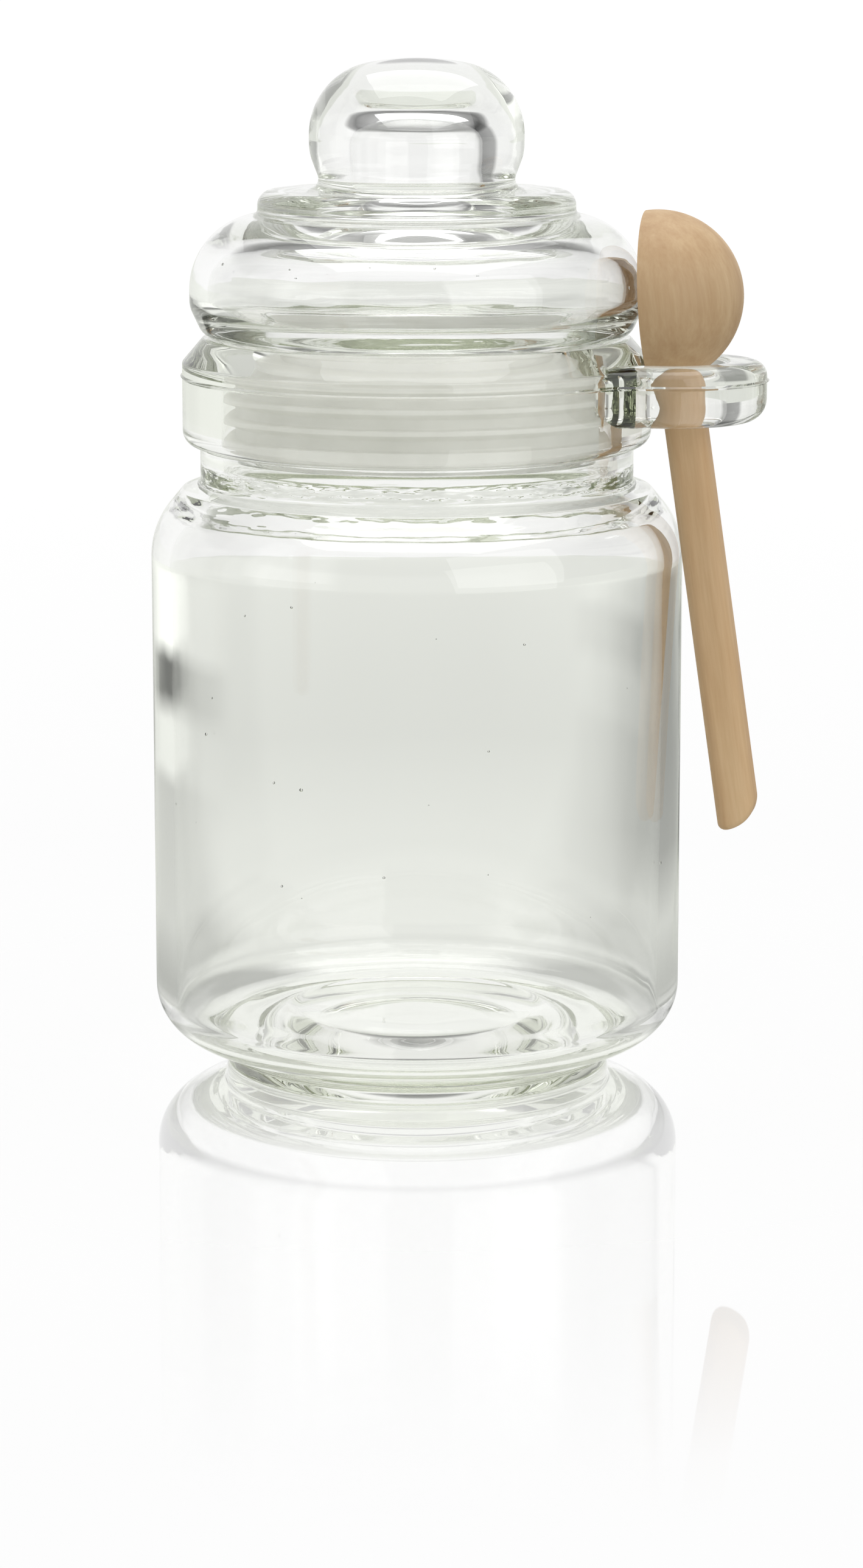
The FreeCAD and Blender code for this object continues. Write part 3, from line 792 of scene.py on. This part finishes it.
def turned_wood():
    """Birch, turned and sanded: pale tan, fine straight grain down the handle, a dry matt surface.

    The top of the bowl is painted a little darker by height, a painted shade against the light from
    overhead.
    """
    material, tree = new_material("birch_turned_sanded")
    place = add_node(tree, "ShaderNodeTexCoord").outputs["Object"]
    along = add_node(tree, "ShaderNodeMapping",
                     {"Vector": place, "Rotation": (0, math.radians(HANDLE_TILT), 0)})
    stretched = add_node(tree, "ShaderNodeMapping",
                         {"Vector": along.outputs[0], "Scale": (1, 1, 0.06)})
    bands = add_node(tree, "ShaderNodeTexNoise",
                     {"Vector": stretched.outputs[0], "Scale": 1 / (3.2 * MM), "Detail": 3.0,
                      "Roughness": 0.55, "Distortion": 0.3})
    fibres = add_node(tree, "ShaderNodeTexNoise",
                      {"Vector": stretched.outputs[0], "Scale": 1 / (0.45 * MM), "Detail": 4.0,
                       "Roughness": 0.6})
    blotch = add_node(tree, "ShaderNodeTexNoise",
                      {"Vector": along.outputs[0], "Scale": 1 / (14 * MM), "Detail": 2.0})
    level = add_node(tree, "ShaderNodeSeparateXYZ", {0: place}).outputs["Z"]
    # Painted shade: the top of the ball is painted darker by height, which tones down the stronger
    # light that falls on it from overhead.
    top_painted_darker = add_node(tree, "ShaderNodeMapRange",
                         {"Value": level, "From Min": 102 * MM, "From Max": 109 * MM})
    colour = add_node(tree, "ShaderNodeValToRGB", {"Fac": bands.outputs[0]},
                      stops=[(0.3, hex_colour("C9AB85")), (0.7, hex_colour("DDC4A0"))])
    colour = colour.outputs["Color"]
    for factor, tone in ((fibres, "EADFD0"), (blotch, "F2E7D8"), (top_painted_darker, "ECECEC")):
        mix = add_node(tree, "ShaderNodeMix",
                       {0: factor.outputs[0], 6: colour, 7: hex_colour(tone)},
                       data_type="RGBA", blend_type="MULTIPLY")
        colour = mix.outputs[2]
    bump = add_node(tree, "ShaderNodeBump",
                    {"Height": fibres.outputs[0], "Strength": 0.5, "Distance": 0.04 * MM})
    wood = add_node(tree, "ShaderNodeBsdfPrincipled",
                    {"Base Color": colour, "Normal": bump.outputs[0], "Roughness": 0.6})
    add_node(tree, "ShaderNodeOutputMaterial", {"Surface": wood.outputs[0]})
    return material


# ---- Studio -------------------------------------------------------------------------------------
VIEW_TURN = math.radians(11)   # the studio is set up round this line of view
DIFFUSE_SHARE = 0.7            # how bright the studio is for matt surfaces

# (degrees round from straight behind the jar, brightness of the studio there)
STUDIO_ROUND = (
    (-180, 0.7), (-146, 0.7), (-138, 1.7), (-104, 1.7), (-98, 0.7), (-76, 0.7), (-66, 1.0),
    (-30, 1.0), (-14, 0.97), (34, 0.97), (44, 0.4), (100, 0.2), (126, 0.4), (134, 0.7), (180, 0.7),
)
# (sine of the rise, share by which the studio's top shows and not its sides), through the glass
TOP_THROUGH = ((0, 0), (0.6, 0), (0.7, 1), (1, 1))
# the same in its reflections
TOP_MIRRORED = ((0, 0), (0.5, 0), (0.7, 1), (1, 1))
TOP_LIGHT = 1.5                # brightness of the top in reflections
# (sine of the rise, brightness through the glass)
STUDIO_RISE = (
    (0, 1), (0.42, 1), (0.5, 0.35), (0.58, 0.15), (0.66, 0.3), (0.85, 0.5), (0.93, 1.2), (1, 1.4),
)
# (degrees round, share of the backdrop in reflections)
BACKDROP_ROUND = ((-180, 0), (-80, 0), (-66, 1), (66, 1), (80, 0), (180, 0))
BACKDROP_LIGHT = 0.97

# (metres from the jar's axis, share mirrored)
BOARD_MIRROR = (
    (0.028, 0.62), (0.042, 0.52), (0.052, 0.34), (0.09, 0.27), (0.12, 0.25), (0.15, 0.14),
    (0.18, 0.02), (0.2, 0),
)
# (metres from the jar's axis, brightness to the eye)
BOARD_SEEN = ((0, 0.825), (0.5, 0.865), (1, 0.92), (2, 0.945), (4, 0.955))
# (metres from the jar's axis, brightness to the glass)
BOARD_LIGHT = ((0, 0.96), (0.04, 0.95), (0.08, 0.87), (0.12, 0.85), (0.27, 0.75), (0.6, 0.85))
# left, right and front: (degrees round, share) and (metres, brightness against the rest)
BOARD_SIDES = (
    (((-180, 0), (-95, 0), (-85, 1), (-30, 1), (-20, 0), (180, 0)),
     ((0, 1), (0.034, 1), (0.042, 0.55), (0.075, 0.55), (0.12, 0.8), (0.24, 0.8), (0.26, 1.2),
      (0.31, 1.2), (0.345, 0.25), (0.39, 0.25), (0.42, 1.5), (0.55, 1.5), (0.65, 1.1))),
    (((-180, 0), (10, 0), (26, 1), (85, 1), (95, 0), (180, 0)),
     ((0, 1), (0.034, 1), (0.042, 0.6), (0.075, 0.6), (0.12, 0.8), (0.18, 0.5), (0.55, 0.4),
      (0.7, 0.9))),
    (((-180, 1), (-150, 1), (-110, 0), (110, 0), (150, 1), (180, 1)),
     ((0, 1), (0.2, 1), (0.4, 0.8), (0.7, 0.8))),
)
BOARD_HALF = 18                # metres
BOARD_DROP = 0.05              # mm below the foot, so that no two faces share a plane

LAMP_AIM = Vector((0, 0, 0.08))
LAMPS = (                      # (name, place, width and height, watts), in metres
    ("overhead", (0, 0.1, 0.9), (0.9, 0.9), 4.4),
    ("left_window", (-0.8, -0.3, 0.35), (0.5, 0.8), 0.3),
    ("front_window", (0.95, -0.75, 0.32), (1.1, 1.3), 5.4),
)


def level_curve(tree, value, stops):
    """Piecewise straight curve through (value, result) stops, for results up to 2."""
    first, last = stops[0][0], stops[-1][0]
    share = add_node(tree, "ShaderNodeMapRange",
                     {"Value": value, "From Min": first, "From Max": last})
    scaled = [((at - first) / (last - first), (light / 2, light / 2, light / 2, 1))
              for at, light in stops]
    half = add_node(tree, "ShaderNodeValToRGB", {"Fac": share.outputs[0]}, stops=scaled)
    return add_node(tree, "ShaderNodeMath", {0: half.outputs["Color"], 1: 2.0},
                    operation="MULTIPLY").outputs[0]


def degrees_round(tree, way):
    """Degrees to the side of the line straight behind the jar, -180 to 180, right of it above 0."""
    across = (math.cos(VIEW_TURN), math.sin(VIEW_TURN), 0)
    behind = (-math.sin(VIEW_TURN), math.cos(VIEW_TURN), 0)
    side = add_node(tree, "ShaderNodeVectorMath", {0: way, 1: across}, operation="DOT_PRODUCT")
    back = add_node(tree, "ShaderNodeVectorMath", {0: way, 1: behind}, operation="DOT_PRODUCT")
    angle = add_node(tree, "ShaderNodeMath", {0: side.outputs["Value"], 1: back.outputs["Value"]},
                     operation="ARCTAN2")
    return add_node(tree, "ShaderNodeMath", {0: angle.outputs[0], 1: math.degrees(1)},
                    operation="MULTIPLY").outputs[0]


def glossy_white_table():
    """White lacquered board, polished: white to the eye, mirrors what stands on it, less far off.

    The glass sees it as the studio's floor: white near the jar, with darker gaps further off on
    both sides, which is what gives the glass its grey body and its dark and bright edges.
    """
    material, tree = new_material("lacquered_white_board")
    place = add_node(tree, "ShaderNodeTexCoord").outputs["Object"]
    apart = add_node(tree, "ShaderNodeVectorMath", {0: place}, operation="LENGTH").outputs["Value"]
    turn = degrees_round(tree, place)
    path = add_node(tree, "ShaderNodeLightPath").outputs
    glow = add_node(tree, "ShaderNodeEmission",
                    {"Color": hex_colour("FFFFFF"),
                     "Strength": level_curve(tree, apart, BOARD_SEEN)})
    skin = add_node(tree, "ShaderNodeBsdfDiffuse", {"Color": hex_colour("616161")})
    white = add_node(tree, "ShaderNodeAddShader", {0: glow.outputs[0], 1: skin.outputs[0]})
    mirror = add_node(tree, "ShaderNodeBsdfGlossy",
                      {"Roughness": 0.02, "Color": hex_colour("FFFFFF")})
    seen = add_node(tree, "ShaderNodeMixShader",
                    {0: level_curve(tree, apart, BOARD_MIRROR), 1: white.outputs[0],
                     2: mirror.outputs[0]})
    light = level_curve(tree, apart, BOARD_LIGHT)
    parts = [(level_curve(tree, turn, share), level_curve(tree, apart, curve))
             for share, curve in BOARD_SIDES]
    for share, part in parts + [(path["Is Diffuse Ray"], DIFFUSE_SHARE)]:
        part = add_node(tree, "ShaderNodeMix", {0: share, 2: 1.0, 3: part}).outputs[0]
        light = add_node(tree, "ShaderNodeMath", {0: light, 1: part},
                         operation="MULTIPLY").outputs[0]
    studio = add_node(tree, "ShaderNodeEmission",
                      {"Color": hex_colour("FDFFF9"), "Strength": light})
    mix = add_node(tree, "ShaderNodeMixShader",
                   {0: path["Is Camera Ray"], 1: studio.outputs[0], 2: seen.outputs[0]})
    add_node(tree, "ShaderNodeOutputMaterial", {"Surface": mix.outputs[0]})
    return material


def studio_world():
    """White to the eye. The glass sees a studio: backdrop, gaps beside it, dark over it, lit top.

    What the glass lets through and what it mirrors differ. Each step of the loop lays one part of
    the studio over those before it.
    """
    world = bpy.data.worlds.new("white_studio")
    bpy.context.scene.world = world
    world.use_nodes = True
    tree = world.node_tree
    tree.nodes.clear()
    way = add_node(tree, "ShaderNodeTexCoord").outputs["Generated"]
    rise = add_node(tree, "ShaderNodeSeparateXYZ", {0: way}).outputs["Z"]
    turn = degrees_round(tree, way)
    path = add_node(tree, "ShaderNodeLightPath").outputs
    sides = level_curve(tree, turn, STUDIO_ROUND)
    through = add_node(tree, "ShaderNodeMix",
                       {0: level_curve(tree, rise, TOP_THROUGH), 2: sides, 3: 1.0})
    through = add_node(tree, "ShaderNodeMath",
                       {0: through.outputs[0], 1: level_curve(tree, rise, STUDIO_RISE)},
                       operation="MULTIPLY")
    strength = sides
    for share, light in (
        (level_curve(tree, rise, TOP_MIRRORED), TOP_LIGHT),
        (level_curve(tree, turn, BACKDROP_ROUND), BACKDROP_LIGHT),
        (path["Is Transmission Ray"], through.outputs[0]),
        (path["Is Diffuse Ray"], DIFFUSE_SHARE),
        (path["Is Camera Ray"], 1.0),
    ):
        strength = add_node(tree, "ShaderNodeMix", {0: share, 2: strength, 3: light}).outputs[0]
    studio = add_node(tree, "ShaderNodeBackground",
                      {"Color": hex_colour("FFFFFF"), "Strength": strength})
    add_node(tree, "ShaderNodeOutputWorld", {"Surface": studio.outputs[0]})


def soft_light(name, place, size, power):
    lamp = bpy.data.lights.new(name, "AREA")
    lamp.shape = "RECTANGLE"
    lamp.size, lamp.size_y = size
    lamp.energy = power
    made = new_object(name, lamp)
    made.location = place
    made.rotation_euler = (LAMP_AIM - Vector(place)).to_track_quat("-Z", "Y").to_euler()


# ---- Build --------------------------------------------------------------------------------------
jar = turned("jar_glass", jar_outline())
combined(jar, spoon_loop(), "UNION")
mend_cuts(jar.data, JOIN_REACH * MM)
smooth(jar)
lid = turned("lid_glass", lid_outline())
smooth(lid)
seal = turned("seal_sleeve", seal_outline(), segments=192, closed=True)
smooth(seal, 50)
spoon = wooden_spoon()

jar.data.materials.append(pressed_glass(
    "soda_lime_glass_pressed", body_colour="BCC4A0", per_metre=10,
    ripple=(12, 40, 0.07), rough_bands=[(88.9, 1.5, 1.0, 0.4), (84.3, 1.2, 1.6, 0.12)]))
lid.data.materials.append(pressed_glass(
    "soda_lime_glass_blown", body_colour="BCC4AA", per_metre=8,
    ripple=(22, 4, 0.12), rough_bands=[]))
seal.data.materials.append(milky_seal())
spoon.data.materials.append(turned_wood())

# The seeds lie about halfway through the straight side of each wall, between these heights.
seeds = seeds_tree()
for piece, radius, bottom, top, seed, per_square_metre in (
    (jar, BODY_RADIUS - BODY_WALL / 2, 16, 74, 4, 1400),
    (lid, TIER_RADIUS - 1.4, 116, 122, 9, 7000),
):
    add_seeds(piece, [(radius, bottom), (radius, top)], seeds, seed, per_square_metre)

for piece, node, body, slot in (
    (jar, "jar_body", "jar", "clear_glass"),
    (lid, "lid", "lid", "lid_glass"),
    (seal, "lid_seal", "seal", "milky_seal"),
    (spoon, "spoon", "spoon", "turned_wood"),
):
    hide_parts(node)
    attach(piece, body)

# ---- Stage --------------------------------------------------------------------------------------
board_mesh = bpy.data.meshes.new("board")
corners = [(x * BOARD_HALF, y * BOARD_HALF, -BOARD_DROP * MM)
           for x, y in ((-1, -1), (1, -1), (1, 1), (-1, 1))]
board_mesh.from_pydata(corners, [], [(0, 1, 2, 3)])
board = new_object("board", board_mesh)
board.data.materials.append(glossy_white_table())
studio_world()
for lamp in LAMPS:
    soft_light(*lamp)

# ---- Camera -------------------------------------------------------------------------------------
EYE_DISTANCE = 0.640           # metres from the jar's axis
EYE_HEIGHT = 0.1675
LOOKS_DOWN = math.radians(11.1)
FRAME_HEIGHT = 2576
FOCAL = 7182                   # on the scale of the frame's height
JAR_ASIDE = 24                 # how far the jar's axis stands from the frame's middle
SENSOR = 36                    # mm, along the frame's height

lens = bpy.data.cameras.new("camera")
lens.sensor_width = SENSOR
lens.lens = SENSOR * FOCAL / FRAME_HEIGHT
lens.clip_start = 0.01
camera = new_object("camera", lens)
camera.location = (math.sin(VIEW_TURN) * EYE_DISTANCE, -math.cos(VIEW_TURN) * EYE_DISTANCE,
                   EYE_HEIGHT)
camera.rotation_euler = (math.pi / 2 - LOOKS_DOWN, 0, VIEW_TURN - math.atan(JAR_ASIDE / FOCAL))

scene = bpy.context.scene
scene.camera = camera
scene.view_settings.view_transform = "Standard"
scene.cycles.max_bounces = 80  # light goes through many walls of glass
scene.cycles.transmission_bounces = 76
scene.cycles.glossy_bounces = 40
scene.cycles.transparent_max_bounces = 16
